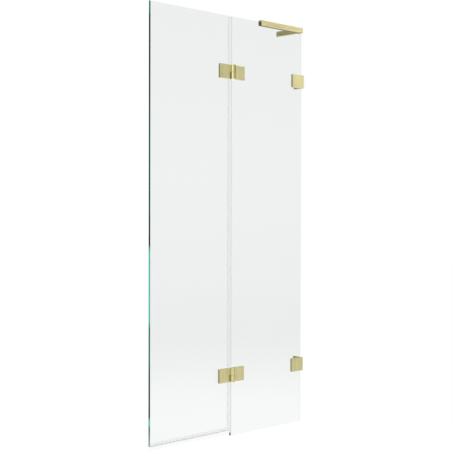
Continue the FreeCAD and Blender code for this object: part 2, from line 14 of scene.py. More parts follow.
import bpy
import numpy as np
from mathutils import Matrix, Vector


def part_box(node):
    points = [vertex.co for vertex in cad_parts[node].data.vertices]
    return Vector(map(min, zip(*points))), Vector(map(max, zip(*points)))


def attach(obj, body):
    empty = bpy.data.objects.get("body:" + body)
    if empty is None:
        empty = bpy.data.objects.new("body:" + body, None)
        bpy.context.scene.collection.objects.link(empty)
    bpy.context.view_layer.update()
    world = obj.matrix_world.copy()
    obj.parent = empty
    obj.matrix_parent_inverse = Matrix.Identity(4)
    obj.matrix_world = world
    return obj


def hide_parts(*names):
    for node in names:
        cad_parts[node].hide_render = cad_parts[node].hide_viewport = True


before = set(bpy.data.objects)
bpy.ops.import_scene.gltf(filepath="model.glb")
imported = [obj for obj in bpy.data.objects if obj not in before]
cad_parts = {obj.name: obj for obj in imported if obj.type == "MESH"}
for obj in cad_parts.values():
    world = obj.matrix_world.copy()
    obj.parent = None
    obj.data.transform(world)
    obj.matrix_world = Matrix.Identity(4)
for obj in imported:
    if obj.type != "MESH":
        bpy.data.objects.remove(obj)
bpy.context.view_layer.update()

LOG = logging.getLogger("bath_screen")

Colour = tuple[float, float, float]
Triple = tuple[float, float, float]
Span = tuple[float, float]
Stops = tuple[tuple[float, float], ...]
WHITE: Colour = (1.0, 1.0, 1.0)
DIAGONAL = math.sqrt(0.5)
NOISE_MIDDLE = 0.5


def linear(red: float, green: float, blue: float) -> Colour:
    """Linear colour of a display colour, by the sRGB curve.

    Args:
        red, green, blue: channels from 0 to 255.

    Returns:
        The three linear channels.
    """
    shares = np.array([red, green, blue]) / 255
    curve = np.where(shares <= 0.04045, shares / 12.92, ((shares + 0.055) / 1.055) ** 2.4)
    return tuple(float(channel) for channel in curve)


def solid(colour: Colour) -> tuple[float, float, float, float]:
    """A colour with full opacity, as a socket takes it."""
    return (*colour, 1.0)


class Signal:
    """A shader value on which Python arithmetic adds Math nodes."""

    def __init__(self, sheet: "NodeSheet", socket: bpy.types.NodeSocket) -> None:
        """Wraps an output socket of a sheet."""
        self.sheet = sheet
        self.socket = socket

    def _math(self, operation: str, first: Any, second: Any = 0.0) -> "Signal":
        """Adds a Math node on two values."""
        node = self.sheet.node("ShaderNodeMath", {"operation": operation}, {0: first, 1: second})
        return Signal(self.sheet, node.outputs[0])

    def __add__(self, other: Any) -> "Signal":
        """Sum."""
        return self._math("ADD", self, other)

    __radd__ = __add__

    def __sub__(self, other: Any) -> "Signal":
        """Difference."""
        return self._math("SUBTRACT", self, other)

    def __rsub__(self, other: Any) -> "Signal":
        """Difference from a number."""
        return self._math("SUBTRACT", other, self)

    def __mul__(self, other: Any) -> "Signal":
        """Product."""
        return self._math("MULTIPLY", self, other)

    __rmul__ = __mul__

    def __pow__(self, power: float) -> "Signal":
        """Power."""
        return self._math("POWER", self, power)

    def __abs__(self) -> "Signal":
        """Size without sign."""
        return self._math("ABSOLUTE", self)

    def angle(self, ahead: "Signal") -> "Signal":
        """Angle in degrees, from -180 to 180, of a point that lies this far aside and so far ahead."""
        return self._math("ARCTAN2", self, ahead) * math.degrees(1.0)

    def larger(self, other: Any) -> "Signal":
        """The larger of two values."""
        return self._math("MAXIMUM", self, other)

    def ease(self, low: float, high: float) -> "Signal":
        """Smooth step.

        Args:
            low: the value at which the step begins.
            high: the value at which it ends.

        Returns:
            0 below low, 1 above high and a smooth rise between.
        """
        node = self.sheet.node(
            "ShaderNodeMapRange",
            {"interpolation_type": "SMOOTHSTEP"},
            {"Value": self, "From Min": low, "From Max": high},
        )
        return Signal(self.sheet, node.outputs[0])


class NodeSheet:
    """The node tree of a material or of the world, filled by node()."""

    def __init__(self, tree: bpy.types.NodeTree) -> None:
        """Starts from an empty tree."""
        self.tree = tree
        tree.nodes.clear()

    def node(
        self,
        kind: str,
        settings: Mapping[str, Any] | None = None,
        inputs: Mapping[str | int, Any] | None = None,
    ) -> bpy.types.Node:
        """Adds one node.

        Args:
            kind: the node's type name.
            settings: its own values, set first; "stops" are a colour ramp's (place, colour) pairs.
            inputs: a number, colour, socket or Signal for each socket, by name or index.

        Returns:
            The new node.
        """
        made = self.tree.nodes.new(kind)
        for key, value in (settings or {}).items():
            if key == "stops":
                self._fill_ramp(made.color_ramp, value)
            else:
                setattr(made, key, value)
        for key, value in (inputs or {}).items():
            if isinstance(value, Signal):
                value = value.socket
            if isinstance(value, bpy.types.NodeSocket):
                self.tree.links.new(value, made.inputs[key])
            else:
                made.inputs[key].default_value = value
        return made

    @staticmethod
    def _fill_ramp(ramp: bpy.types.ColorRamp, stops: Sequence[tuple[float, Colour]]) -> None:
        """Puts the stops, in order, into a colour ramp."""
        while len(ramp.elements) < len(stops):
            ramp.elements.new(1.0)
        for element, (place, colour) in zip(ramp.elements, stops):
            element.position = place
            element.color = solid(colour)

    def signal(self, node: bpy.types.Node, output: str | int = 0) -> Signal:
        """One output of a node as a Signal."""
        return Signal(self, node.outputs[output])

    def place(self) -> bpy.types.NodeSocket:
        """The point on the piece, in the CAD frame."""
        return self.node("ShaderNodeTexCoord").outputs["Object"]

    def axes(self, vector: bpy.types.NodeSocket) -> tuple[Signal, Signal, Signal]:
        """The X, Y and Z shares of a vector."""
        split = self.node("ShaderNodeSeparateXYZ", inputs={0: vector})
        return self.signal(split, 0), self.signal(split, 1), self.signal(split, 2)

    def squeezed(self, vector: bpy.types.NodeSocket, scale: Triple) -> bpy.types.NodeSocket:
        """A place squeezed along X, Y and Z, so that a pattern on it is drawn out."""
        return self.node("ShaderNodeMapping", inputs={"Vector": vector, "Scale": scale}).outputs[0]

    def noise(self, vector: bpy.types.NodeSocket, scale: float, detail: float = 2.0) -> Signal:
        """Soft noise about NOISE_MIDDLE, with scale features to the metre."""
        inputs = {"Vector": vector, "Scale": scale, "Detail": detail}
        return self.signal(self.node("ShaderNodeTexNoise", inputs=inputs))

    def ramp(self, value: Signal, stops: Sequence[tuple[float, Colour]]) -> bpy.types.NodeSocket:
        """A colour from a value, through a ramp."""
        return self.node("ShaderNodeValToRGB", {"stops": stops}, {0: value}).outputs[0]

    def glow(self, value: Signal, stops: Stops) -> Signal:
        """A brightness from a value.

        Args:
            value: the value looked up.
            stops: (value, brightness) pairs in order, with straight runs between them.

        Returns:
            The brightness.
        """
        low, high = stops[0][0], stops[-1][0]
        greys = tuple(((at - low) / (high - low), (bright,) * 3) for at, bright in stops)
        return Signal(self, self.ramp((value - low) * (1 / (high - low)), greys))

    def mix(self, share: Any, first: bpy.types.Node, second: bpy.types.Node) -> bpy.types.Node:
        """A shader that is the first at share 0 and the second at share 1."""
        return self.node(
            "ShaderNodeMixShader", inputs={0: share, 1: first.outputs[0], 2: second.outputs[0]}
        )

    def blend(self, share: Signal, first: Any, second: Any) -> bpy.types.NodeSocket:
        """A colour that is the first at share 0 and the second at share 1."""
        made = self.node("ShaderNodeMix", {"data_type": "RGBA"}, {0: share, 6: first, 7: second})
        return made.outputs[2]

    def bump(self, height: Signal, depth: float, strength: float) -> bpy.types.NodeSocket:
        """A normal that is tilted by a pattern of heights."""
        inputs = {"Strength": strength, "Distance": depth, "Height": height}
        return self.node("ShaderNodeBump", inputs=inputs).outputs[0]

    def see_through(self, tint: Colour) -> bpy.types.Node:
        """A clear shader with a tint."""
        return self.node("ShaderNodeBsdfTransparent", inputs={"Color": solid(tint)})

    def shine(self, kind: str, colour: Any, strength: float = 1.0) -> bpy.types.Node:
        """A shader that gives light, of the kind that a material or the world takes."""
        return self.node(kind, inputs={"Color": colour, "Strength": strength})

    def by_ray(
        self, seen: bpy.types.Node, mirrored: bpy.types.Node, other: bpy.types.Node
    ) -> bpy.types.Node:
        """Chooses a shader by the kind of ray.

        Args:
            seen: for rays straight from the camera or through glass.
            mirrored: for rays from a mirror.
            other: for all other rays.

        Returns:
            The shader.
        """
        path = self.node("ShaderNodeLightPath")
        plain = self.mix(self.signal(path, "Is Glossy Ray"), other, mirrored)
        direct = self.signal(path, "Is Camera Ray").larger(self.signal(path, "Is Transmission Ray"))
        return self.mix(direct, plain, seen)

    def mirror_share(self, head_on: float) -> Signal:
        """Share of light that a clear face mirrors, by Schlick's curve on the facing angle."""
        facing = self.signal(self.node("ShaderNodeLayerWeight", inputs={"Blend": 0.5}), "Facing")
        return facing**5 * (1 - head_on) + head_on

    def end(self, shader: bpy.types.Node, kind: str = "ShaderNodeOutputMaterial") -> None:
        """Joins the last shader to the tree's output."""
        self.node(kind, inputs={"Surface": shader.outputs[0]})


def new_material(name: str) -> tuple[bpy.types.Material, NodeSheet]:
    """An empty node material and its sheet."""
    material = bpy.data.materials.new(name)
    material.use_nodes = True
    return material, NodeSheet(material.node_tree)


class Grain(Enum):
    """Direction of a brushed grain, as the squeeze of a noise pattern along X, Y and Z."""

    UPRIGHT = (1.0, 1.0, 0.05)
    ALONG_GLASS = (0.05, 1.0, 1.0)
    ALONG_WALL = (1.0, 0.05, 1.0)
    DRAWN_UPRIGHT = (1.0, 1.0, 0.001)
    DRAWN_ALONG_GLASS = (0.001, 1.0, 1.0)


@dataclass(frozen=True)
class BrushedMetal:
    """Metal with a fine brushed grain: streaks of tone, of gloss and of height along one direction."""

    name: str
    grain: Grain
    dark: Colour
    light: Colour
    gloss: Span
    turned_about: tuple[float, float] | None = None
    turned_span: Span = (0.0115, 0.0135)
    turned_gloss: float = 0.2
    broad_streaks: float = 240.0
    broad_detail: float = 3.0
    broad_share: float = 0.6
    fine_streaks: float = 2600.0
    fine_detail: float = 4.0
    tone_span: Span = (0.34, 0.66)
    relief: float = 0.00004
    relief_strength: float = 0.35

    def material(self) -> bpy.types.Material:
        """Builds the finish.

        Returns:
            The material: tone from broad and fine streaks together, height from the fine ones. Around an
            upright axis, where a piece is turned and not brushed, it is smoother.
        """
        material, sheet = new_material(self.name)
        place = sheet.place()
        drawn = sheet.squeezed(place, self.grain.value)
        broad = sheet.noise(drawn, self.broad_streaks, self.broad_detail)
        fine = sheet.noise(drawn, self.fine_streaks, self.fine_detail)
        streak = broad * self.broad_share + fine * (1 - self.broad_share)
        smooth, rough = self.gloss
        roughness = smooth + (rough - smooth) * streak
        if self.turned_about:
            x, y, _ = sheet.axes(place)
            axis_x, axis_y = self.turned_about
            away = ((x - axis_x) ** 2 + (y - axis_y) ** 2) ** 0.5
            brushed = away.ease(*self.turned_span)
            roughness = self.turned_gloss + (roughness - self.turned_gloss) * brushed
            fine = fine * brushed
        low, high = self.tone_span
        shader = sheet.node(
            "ShaderNodeBsdfPrincipled",
            inputs={
                "Base Color": sheet.ramp(streak, ((low, self.dark), (high, self.light))),
                "Metallic": 1.0,
                "Roughness": roughness,
                "Normal": sheet.bump(fine, self.relief, self.relief_strength),
            },
        )
        sheet.end(shader)
        return material


class EdgeToneWithPaintedLight(Enum):
    """Tones of long glass edges: the glass's own green, made darker or brighter by painted light and
    painted reflections from inside the sheet.
    """

    DEEP = linear(0, 20, 14)
    SOFT = linear(8, 92, 76)
    SEA = linear(10, 130, 108)
    BRIGHT = linear(80, 212, 190)
    PALE = linear(172, 193, 187)
    TEAL = linear(10, 138, 118)


PaintedLightBands = tuple[tuple[float, EdgeToneWithPaintedLight], ...]


@dataclass(frozen=True)
class ClearGlass:
    """Toughened clear glass: see-through faces that mirror a little, and polished green edges with painted
    light and painted reflections on them.

    A span is the share of the normal, or the distance, over which one look gives way to another.
    """

    name: str
    # Bands of painted light and painted reflection by height on the edges, over the glass's own green
    painted_light_bands: PaintedLightBands
    hinge_edge: float
    height: float = 1.5
    head_on: float = 0.046
    face_tint: Colour = (0.953, 0.962, 0.958)
    face_span: Span = (0.75, 0.95)
    wave_squeeze: Triple = (0.4, 0.4, 1.0)
    wave_scale: float = 5.0
    wave_depth: float = 0.001
    wave_strength: float = 0.02
    edge_tint: Colour = (0.915, 0.93, 0.925)
    edge_gloss: float = 0.15
    edge_specular: float = 0.1
    wander_scale: float = 14.0
    wander_detail: float = 3.0
    wander_reach: float = 0.018
    level_span: Span = (0.6, 0.8)
    # Painted light and painted reflections on the level edges, looked up by a noise value
    level_painted_light: PaintedLightBands = ((0.36, EdgeToneWithPaintedLight.DEEP), (0.5, EdgeToneWithPaintedLight.SEA), (0.64, EdgeToneWithPaintedLight.BRIGHT))
    hinge_span: Span = (0.01, 0.02)
    clear_tint: Colour = (0.97, 0.978, 0.975)
    clear_span: Span = (0.01, 0.012)
    arris: Colour = (0.42, 0.46, 0.45)
    arris_share: float = 0.7
    arris_span: Span = (0.4, 0.6)
    level_arris_span: Span = (0.3, 0.5)

    def material(self) -> bpy.types.Material:
        """Builds the finish.

        Returns:
            The material, in which faces and edges are told apart by the Y share of their normal.
        """
        material, sheet = new_material(self.name)
        place = sheet.place()
        _, across, upward = sheet.axes(sheet.node("ShaderNodeTexCoord").outputs["Normal"])
        on_edge = 1 - abs(across).ease(*self.face_span)
        edge = self._edge(sheet, place, abs(across), abs(upward))
        sheet.end(sheet.mix(on_edge, self._face(sheet, place), edge))
        return material

    def _face(self, sheet: NodeSheet, place: bpy.types.NodeSocket) -> bpy.types.Node:
        """Broad face, see-through with a mirror share by the angle.

        Args:
            sheet: the material's sheet.
            place: the point on the glass.

        Returns:
            The shader, with a faint ripple in what it mirrors.
        """
        waves = sheet.noise(sheet.squeezed(place, self.wave_squeeze), self.wave_scale)
        ripple = sheet.bump(waves, self.wave_depth, self.wave_strength)
        gloss = sheet.node(
            "ShaderNodeBsdfAnisotropic",
            inputs={"Color": solid(WHITE), "Roughness": 0.0, "Normal": ripple},
        )
        return sheet.mix(sheet.mirror_share(self.head_on), sheet.see_through(self.face_tint), gloss)

    def _edge(
        self, sheet: NodeSheet, place: bpy.types.NodeSocket, across: Signal, upward: Signal
    ) -> bpy.types.Node:
        """Polished edge in the glass's own green, with painted light and painted reflections: in bands by
        height, or in soft noise where it lies level.

        Args:
            sheet: the material's sheet.
            place: the point on the glass.
            across: the size of the normal's Y share.
            upward: the size of the normal's Z share.

        Returns:
            The shader: clear from inside the glass and at the hinges, with ground arrises there.
        """
        along, _, height = sheet.axes(place)
        at_hinge = 1 - abs(along - self.hinge_edge).ease(*self.hinge_span)
        level = upward.ease(*self.level_span)
        wander = sheet.noise(place, self.wander_scale, self.wander_detail)
        # Painted light and painted reflections along the upright edges, in bands by height over the
        # glass's own green
        free_painted_light = sheet.ramp(
            (height + (wander - NOISE_MIDDLE) * self.wander_reach) * (1 / self.height),
            tuple((above / self.height, tone.value) for above, tone in self.painted_light_bands),
        )
        # At the hinged edge the painted light is one teal tone in place of the bands
        upright_painted_light = sheet.blend(at_hinge, free_painted_light, solid(EdgeToneWithPaintedLight.TEAL.value))
        # On level edges the painted light and painted reflections wander with soft noise
        level_edge_painted_light = sheet.ramp(wander, tuple((at, tone.value) for at, tone in self.level_painted_light))
        # The edge's base colour carries the painted light and painted reflections chosen above
        polished = sheet.node(
            "ShaderNodeBsdfPrincipled",
            inputs={
                "Base Color": sheet.blend(level, upright_painted_light, level_edge_painted_light),
                "Roughness": self.edge_gloss,
                "Specular IOR Level": self.edge_specular,
            },
        )
        from_inside = sheet.mix(
            at_hinge.larger(level), sheet.see_through(self.edge_tint), sheet.see_through(self.clear_tint)
        )
        inside = sheet.signal(sheet.node("ShaderNodeNewGeometry"), "Backfacing")
        arris = across.ease(*self.arris_span)
        level_arris = arris * upward.ease(*self.level_arris_span)
        clear_hinge = at_hinge * height.ease(*self.clear_span)
        clear_share = inside.larger(clear_hinge).larger(level_arris)
        ground = sheet.node("ShaderNodeBsdfDiffuse", inputs={"Color": solid(self.arris)})
        on_arris = at_hinge * arris * (1 - level) * (1 - inside)
        body = sheet.mix(clear_share, polished, from_inside)
        return sheet.mix(on_arris * self.arris_share, body, ground)


@dataclass(frozen=True)
class ClearVinyl:
    """Clear soft plastic with a milky haze and faint lines along its length."""

    name: str
    haze: float
    body: Colour
    tint: Colour
    lines: Grain
    head_on: float = 0.03
    gloss: float = 0.22
    specular: float = 0.4
    line_scale: float = 900.0
    line_span: Span = (0.3, 0.7)
    line_shade: float = 0.95
    line_gloss: float = 0.15
    haze_span: Span = (0.7, 1.3)

    def material(self) -> bpy.types.Material:
        """Builds the finish.

        Returns:
            The material: a clear part and a milky part, mixed by the haze, the lines and the angle.
        """
        material, sheet = new_material(self.name)
        lines = sheet.noise(sheet.squeezed(sheet.place(), self.lines.value), self.line_scale)
        low, high = self.line_span
        shade = tuple(self.line_shade * channel for channel in self.body)
        milky = sheet.node(
            "ShaderNodeBsdfPrincipled",
            inputs={
                "Base Color": sheet.ramp(lines, ((low, shade), (high, self.body))),
                "Roughness": self.gloss + self.line_gloss * lines,
                "Specular IOR Level": self.specular,
            },
        )
        thin, thick = self.haze_span
        share = sheet.mirror_share(self.head_on) + self.haze * (thin + (thick - thin) * lines)
        sheet.end(sheet.mix(share, sheet.see_through(self.tint), milky))
        return material


@dataclass(frozen=True)
class PlainMoulding:
    """Moulded plastic or rubber: one colour with a soft mottle and a fine matt grain."""

    name: str
    dark: Colour
    light: Colour
    gloss: float
    mottle_scale: float = 160.0
    mottle_span: Span = (0.35, 0.65)
    grain_scale: float = 1800.0
    grain_detail: float = 3.0
    grain_depth: float = 0.00005
    grain_strength: float = 0.2
    grain_gloss: float = 0.1

    def material(self) -> bpy.types.Material:
        """Builds the finish, with the mottle in its tone and the grain in its height."""
        material, sheet = new_material(self.name)
        place = sheet.place()
        mottle = sheet.noise(place, self.mottle_scale)
        grain = sheet.noise(place, self.grain_scale, self.grain_detail)
        low, high = self.mottle_span
        shader = sheet.node(
            "ShaderNodeBsdfPrincipled",
            inputs={
                "Base Color": sheet.ramp(mottle, ((low, self.dark), (high, self.light))),
                "Roughness": self.gloss + self.grain_gloss * grain,
                "Normal": sheet.bump(grain, self.grain_depth, self.grain_strength),
            },
        )
        sheet.end(shader)
        return material


Finish = BrushedMetal | ClearGlass | ClearVinyl | PlainMoulding
SAME_POINT = 1e-7


def rounded_outline(corners: np.ndarray, setbacks: np.ndarray, steps: int = 6) -> np.ndarray:
    """Outline with its corners rounded.

    Each corner H gives way to the curve (1-t)^2 A + 2t(1-t) H + t^2 B, where A and B lie a setback
    before and after H on the outline's sides.

    Args:
        corners: (n, 2) points in order.
        setbacks: (n,) lengths, 0 where the corner stays sharp.
        steps: points on each curve.

    Returns:
        Up to n * steps points in the same order, without those that fall together.
    """
    to_before = np.roll(corners, 1, axis=0) - corners
    to_after = np.roll(corners, -1, axis=0) - corners
    reach = setbacks[:, None]
    start = corners + reach * to_before / np.linalg.norm(to_before, axis=1, keepdims=True)
    end = corners + reach * to_after / np.linalg.norm(to_after, axis=1, keepdims=True)
    t = np.linspace(0, 1, steps)[None, :, None]
    curve = (1 - t) ** 2 * start[:, None] + 2 * t * (1 - t) * corners[:, None] + t**2 * end[:, None]
    points = curve.reshape(-1, 2)
    apart = np.linalg.norm(points - np.roll(points, 1, axis=0), axis=1) > SAME_POINT
    return points[apart]


def bowed(start: Sequence[float], end: Sequence[float], bow: float, count: int = 10) -> np.ndarray:
    """Points on a shallow bow: the straight line from start to end plus bow * 4t(1-t) to its left.

    Args:
        start, end: the bow's ends.
        bow: its height in the middle.
        count: number of points.

    Returns:
        (count, 2) points.
    """
    first, last = np.array(start, float), np.array(end, float)
    along = last - first
    left = np.array([-along[1], along[0]]) / np.linalg.norm(along)
    t = np.linspace(0, 1, count)[:, None]
    return first + along * t + left * bow * 4 * t * (1 - t)


def carried(outlines: np.ndarray, stations: np.ndarray) -> tuple[np.ndarray, list[list[int]]]:
    """Closed solid of an outline carried along a line: a grid of points by stations, with end caps.

    Args:
        outlines: (k, m, 2) outline at each of k stations, anticlockwise as seen from the line's end.
        stations: (k,) places along the line.

    Returns:
        (k * m, 3) points as (u, v, station), and the faces.
    """
    count, size = outlines.shape[:2]
    along = np.repeat(stations[:, None, None], size, axis=1)
    points = np.concatenate([outlines, along], axis=2).reshape(-1, 3)
    ring = np.arange(size)
    step = np.arange(count - 1)[:, None] * size
    after = (ring + 1) % size
    walls = np.stack([step + ring, step + after, step + size + after, step + size + ring], axis=2)
    caps = [ring[::-1].tolist(), (ring + (count - 1) * size).tolist()]
    return points, walls.reshape(-1, 4).tolist() + caps


def new_piece(
    name: str, points: np.ndarray, faces: list[list[int]], material: bpy.types.Material
) -> bpy.types.Object:
    """Puts a computed surface into the scene.

    Args:
        name: the piece's name.
        points: (n, 3) places in metres.
        faces: point numbers of each face, anticlockwise from outside.
        material: its finish.

    Returns:
        The new object, at the origin.
    """
    mesh = bpy.data.meshes.new(name)
    mesh.from_pydata(points.tolist(), [], faces)
    mesh.materials.append(material)
    mesh.update()
    piece = bpy.data.objects.new(name, mesh)
    bpy.context.scene.collection.objects.link(piece)
    return piece


def anticlockwise(outline: np.ndarray) -> np.ndarray:
    """The outline in anticlockwise order, by the sign of twice its area, the sum of xy' - x'y."""
    x, y = outline.T
    doubled = np.sum(x * np.roll(y, -1) - np.roll(x, -1) * y)
    return outline if doubled > 0 else outline[::-1]


@dataclass(frozen=True)
class SideSeal:
    """Clear seal on the moving glass's hinged edge: a clip with a curved lip over the fixed glass."""

    edge: float = -0.195
    glass_face: float = 0.004
    play: float = 0.00005
    wall: float = 0.0012
    leg: float = 0.015
    back_leg: float = 0.005
    web: float = 0.0014
    tip: float = -0.1865
    tip_lift: float = 0.0024
    lip: float = 0.0008
    bow: float = 0.0004
    lengths: tuple[tuple[str, float, float], ...] = (
        ("upper", 1.326, 1.497),
        ("middle", 0.246, 1.274),
        ("lower", 0.009, 0.194),
    )
    tail_top: float = 0.0335
    tail_stub: float = 0.02
    rounding: float = 0.45
    heel_rounding: float = 0.5

    def outline(self) -> np.ndarray:
        """Cross-section in plan: the clip around the edge, and the lip as two shallow bows to its tip.

        Returns:
            (m, 2) points, anticlockwise.
        """
        inner = self.edge + self.play
        outer = inner + self.web
        grip = self.glass_face + self.play
        face = grip + self.wall
        front_end = self.edge - self.leg
        back_end = self.edge - self.back_leg
        lip_middle = -self.glass_face - self.tip_lift
        leg = np.array([(front_end, -grip), (front_end, -face)])
        front = bowed((inner - self.wall, -face), (self.tip, lip_middle - self.lip / 2), -self.bow)
        rear = bowed((self.tip, lip_middle + self.lip / 2), (outer, -self.glass_face), self.bow)
        back_leg = [(outer, face), (back_end, face), (back_end, grip), (inner, grip), (inner, -grip)]
        corners = np.concatenate([leg, front, rear, np.array(back_leg)])
        setbacks = np.zeros(len(corners))
        leg_ends = [0, 1, -4, -3]
        tip_first = len(leg) + len(front) - 1
        heel = -5
        setbacks[leg_ends] = self.wall * self.rounding
        setbacks[[tip_first, tip_first + 1]] = self.lip * self.rounding
        setbacks[heel] = self.wall * self.heel_rounding
        return anticlockwise(rounded_outline(corners, setbacks))

    def build(self, finish: ClearVinyl) -> None:
        """Makes the three lengths. Below the drip seal's top the legs are cut back to a stub of the web.

        Args:
            finish: the seal's material.
        """
        material = finish.material()
        outline = self.outline()
        inner = self.edge + self.play
        for name, bottom, top in self.lengths:
            stations = np.array([bottom, top])
            keep = np.ones(2)
            if bottom < self.tail_top:
                stations = np.array([bottom, self.tail_top - self.play, self.tail_top, top])
                keep = np.array([self.tail_stub, self.tail_stub, 1.0, 1.0])
            outlines = np.repeat(outline[None], len(stations), axis=0)
            left = np.minimum(outlines[:, :, 0] - inner, 0)
            outlines[:, :, 0] += left * (keep[:, None] - 1)
            points, faces = carried(outlines, stations)
            piece = new_piece(f"{name}_seal_strip", points, faces, material)
            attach(piece, "moving_screen")
            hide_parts(f"side_seal_{name}")
            LOG.info("%s: %d points", piece.name, len(points))


@dataclass(frozen=True)
class DripSeal:
    """Clear clip along the bottom edge of the moving glass, with a curved fin that sheds the water."""

    left: float = -0.568
    right: float = -0.195
    glass_face: float = 0.004
    glass_bottom: float = 0.021
    play: float = 0.00005
    wall: float = 0.0012
    web: float = 0.0017
    leg_top: float = 0.0325
    back_leg_top: float = 0.029
    fin_root: float = 0.0011
    fin_tip: float = 0.0007
    fin_bottom: float = 0.006
    fin_slant: float = 0.0015
    fin_bow: float = 0.0006
    rounding: float = 0.45
    heel_rounding: float = 0.6

    def outline(self) -> np.ndarray:
        """Cross-section as (y, z): the clip with rounded legs, and the fin between two bows.

        Returns:
            (m, 2) points, anticlockwise.
        """
        grip = self.glass_face + self.play
        face = grip + self.wall
        seat = self.glass_bottom - self.play
        floor = seat - self.web
        tip_left = self.fin_slant - self.fin_tip / 2
        tip_right = self.fin_slant + self.fin_tip / 2
        going = bowed((-self.fin_root / 2, floor), (tip_left, self.fin_bottom), self.fin_bow)
        coming = bowed((tip_right, self.fin_bottom), (self.fin_root / 2, floor), -self.fin_bow)
        rest = np.array(
            [
                (face, floor),
                (face, self.back_leg_top),
                (grip, self.back_leg_top),
                (grip, seat),
                (-grip, seat),
                (-grip, self.leg_top),
                (-face, self.leg_top),
            ]
        )
        corners = np.concatenate([np.array([(-face, floor)]), going, coming, rest])
        setbacks = np.zeros(len(corners))
        heels = [0, -7]
        leg_ends = [-6, -5, -2, -1]
        setbacks[heels] = self.wall * self.heel_rounding
        setbacks[leg_ends] = self.wall * self.rounding
        return anticlockwise(rounded_outline(corners, setbacks))

    def build(self, finish: ClearVinyl) -> None:
        """Makes the strip from the free edge to the hinged edge.

        Args:
            finish: the seal's material.
        """
        outlines = np.repeat(self.outline()[None], 2, axis=0)
        points, faces = carried(outlines, np.array([self.left, self.right]))
        along_x = points[:, [2, 0, 1]]
        piece = new_piece("drip_seal_strip", along_x, faces, finish.material())
        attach(piece, "moving_screen")
        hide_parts("bottom_drip_seal")
        LOG.info("%s: %d points", piece.name, len(points))


def dress(finish: Finish, nodes: Sequence[str]) -> None:
    """Gives CAD nodes a finish.

    Args:
        finish: the finish.
        nodes: the nodes' names.
    """
    material = finish.material()
    for name in nodes:
        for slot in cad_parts[name].material_slots:
            slot.material = material
        LOG.info("%s: %s", name, material.name)


BRASS_DARK = linear(196, 188, 140)
BRASS_LIGHT = linear(224, 216, 162)
BRASS_GLOSS = (0.34, 0.52)
STEEL = BrushedMetal(
    name="screw_brushed_steel",
    grain=Grain.ALONG_WALL,
    dark=linear(150, 150, 150),
    light=linear(196, 196, 194),
    gloss=(0.24, 0.4),
)
WHITE_NYLON = PlainMoulding(
    name="white_moulding", dark=linear(222, 222, 218), light=linear(236, 236, 233), gloss=0.4
)
# Dark moulding of the hinge thrust washers: a real washer, whose dark colour also stands in as painted
# shade in the split between the hinge halves
DARK_NYLON_SPLIT_SHADE = PlainMoulding(
    name="dark_moulding_split_shade", dark=linear(84, 80, 70), light=linear(98, 94, 84), gloss=0.5
)
LINER = PlainMoulding(
    name="channel_liner_rubber", dark=linear(92, 92, 90), light=linear(112, 112, 110), gloss=0.6
)
GASKET = ClearVinyl(
    name="gasket_clear_vinyl",
    haze=0.12,
    body=linear(236, 238, 236),
    tint=(0.97, 0.98, 0.975),
    lines=Grain.UPRIGHT,
)
SIDE_VINYL = ClearVinyl(
    name="side_clear_seal",
    haze=0.02,
    body=linear(238, 240, 239),
    tint=(0.995, 0.996, 0.996),
    lines=Grain.DRAWN_UPRIGHT,
)
DRIP_VINYL = ClearVinyl(
    name="drip_clear_seal",
    haze=0.013,
    body=linear(236, 238, 237),
    tint=(0.997, 0.998, 0.998),
    lines=Grain.DRAWN_ALONG_GLASS,
)
LEVELS = ("upper", "lower")
FAMILIES = ("wall_bracket", "hinge_fixed", "hinge_moving")


@dataclass(frozen=True)
class Panels:
    """The two glass panels, with the bands of painted light and painted reflection on their polished edges
    by height.
    """

    # Heights of the bands of painted light and painted reflection on the moving glass's edges, over its
    # own green
    moving_bands: PaintedLightBands = (
        (0.022, EdgeToneWithPaintedLight.PALE),
        (0.075, EdgeToneWithPaintedLight.SEA),
        (0.086, EdgeToneWithPaintedLight.SEA),
        (0.090, EdgeToneWithPaintedLight.BRIGHT),
        (0.110, EdgeToneWithPaintedLight.BRIGHT),
        (0.114, EdgeToneWithPaintedLight.DEEP),
        (0.270, EdgeToneWithPaintedLight.SOFT),
        (0.300, EdgeToneWithPaintedLight.SEA),
        (0.410, EdgeToneWithPaintedLight.SEA),
        (0.440, EdgeToneWithPaintedLight.BRIGHT),
        (0.670, EdgeToneWithPaintedLight.BRIGHT),
        (0.690, EdgeToneWithPaintedLight.DEEP),
        (0.820, EdgeToneWithPaintedLight.SOFT),
        (1.060, EdgeToneWithPaintedLight.SOFT),
        (1.300, EdgeToneWithPaintedLight.DEEP),
        (1.455, EdgeToneWithPaintedLight.DEEP),
        (1.468, EdgeToneWithPaintedLight.SEA),
    )
    # Heights of the bands of painted light and painted reflection on the fixed glass's edges, over its own
    # green
    fixed_bands: PaintedLightBands = (
        (0.000, EdgeToneWithPaintedLight.SEA),
        (0.060, EdgeToneWithPaintedLight.SOFT),
        (0.300, EdgeToneWithPaintedLight.DEEP),
        (0.450, EdgeToneWithPaintedLight.SEA),
        (0.620, EdgeToneWithPaintedLight.BRIGHT),
        (0.700, EdgeToneWithPaintedLight.DEEP),
        (1.100, EdgeToneWithPaintedLight.SOFT),
        (1.450, EdgeToneWithPaintedLight.DEEP),
        (1.480, EdgeToneWithPaintedLight.SEA),
    )

    def build(self) -> None:
        """Dresses both panels."""
        moving_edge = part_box("moving_glass_panel")[1][0]
        fixed_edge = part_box("fixed_glass_panel")[0][0]
        dress(ClearGlass("moving_clear_glass", self.moving_bands, moving_edge), ["moving_glass_panel"])
        dress(ClearGlass("fixed_clear_glass", self.fixed_bands, fixed_edge), ["fixed_glass_panel"])


